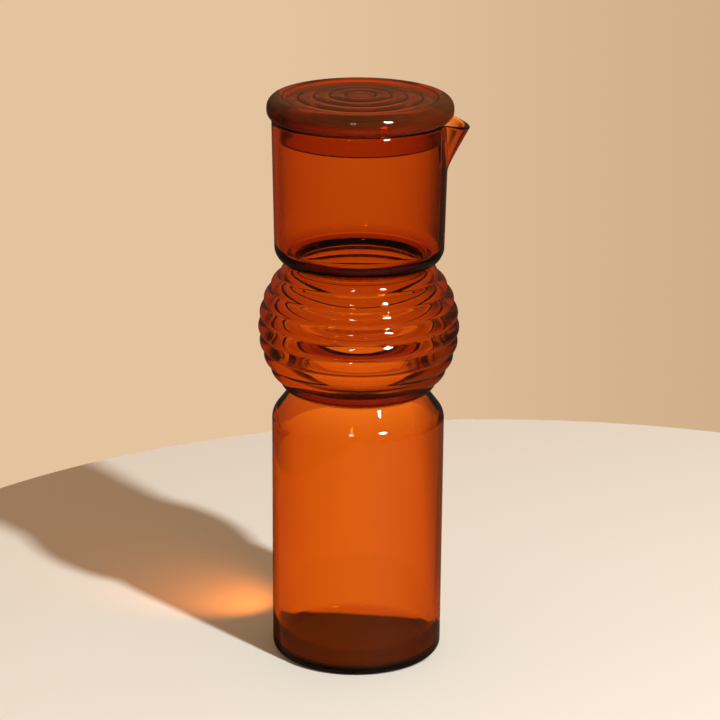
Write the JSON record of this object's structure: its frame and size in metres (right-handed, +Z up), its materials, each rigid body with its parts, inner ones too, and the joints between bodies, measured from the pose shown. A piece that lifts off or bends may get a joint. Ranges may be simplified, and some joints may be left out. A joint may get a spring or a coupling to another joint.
{
  "type": "lidded carafe",
  "caption": "Amber glass carafe with a plain lower chamber, a ribbed globe, a plain upper chamber with a pulled spout, and a drop-in lid with rings on its dome.",
  "frame": {"origin": "centre of the flat base, on the surface that the carafe stands on", "axes": "+Z up along the carafe's axis, +X from the axis towards the spout"},
  "size_m": [0.0907, 0.0874, 0.2526],
  "materials": {
    "amber_glass": "blown glass, clear, gloss",
    "lid_glass": "pressed glass, clear, gloss"
  },
  "bodies": {
    "carafe": {"carafe_body": "amber_glass"},
    "lid": {"lid": "lid_glass"}
  },
  "joints": [
    {"name": "lid_lift", "type": "slide", "parent": "carafe", "child": "lid", "axis": [0, 0, 1], "range_m": [0, 0.04]}
  ]
}
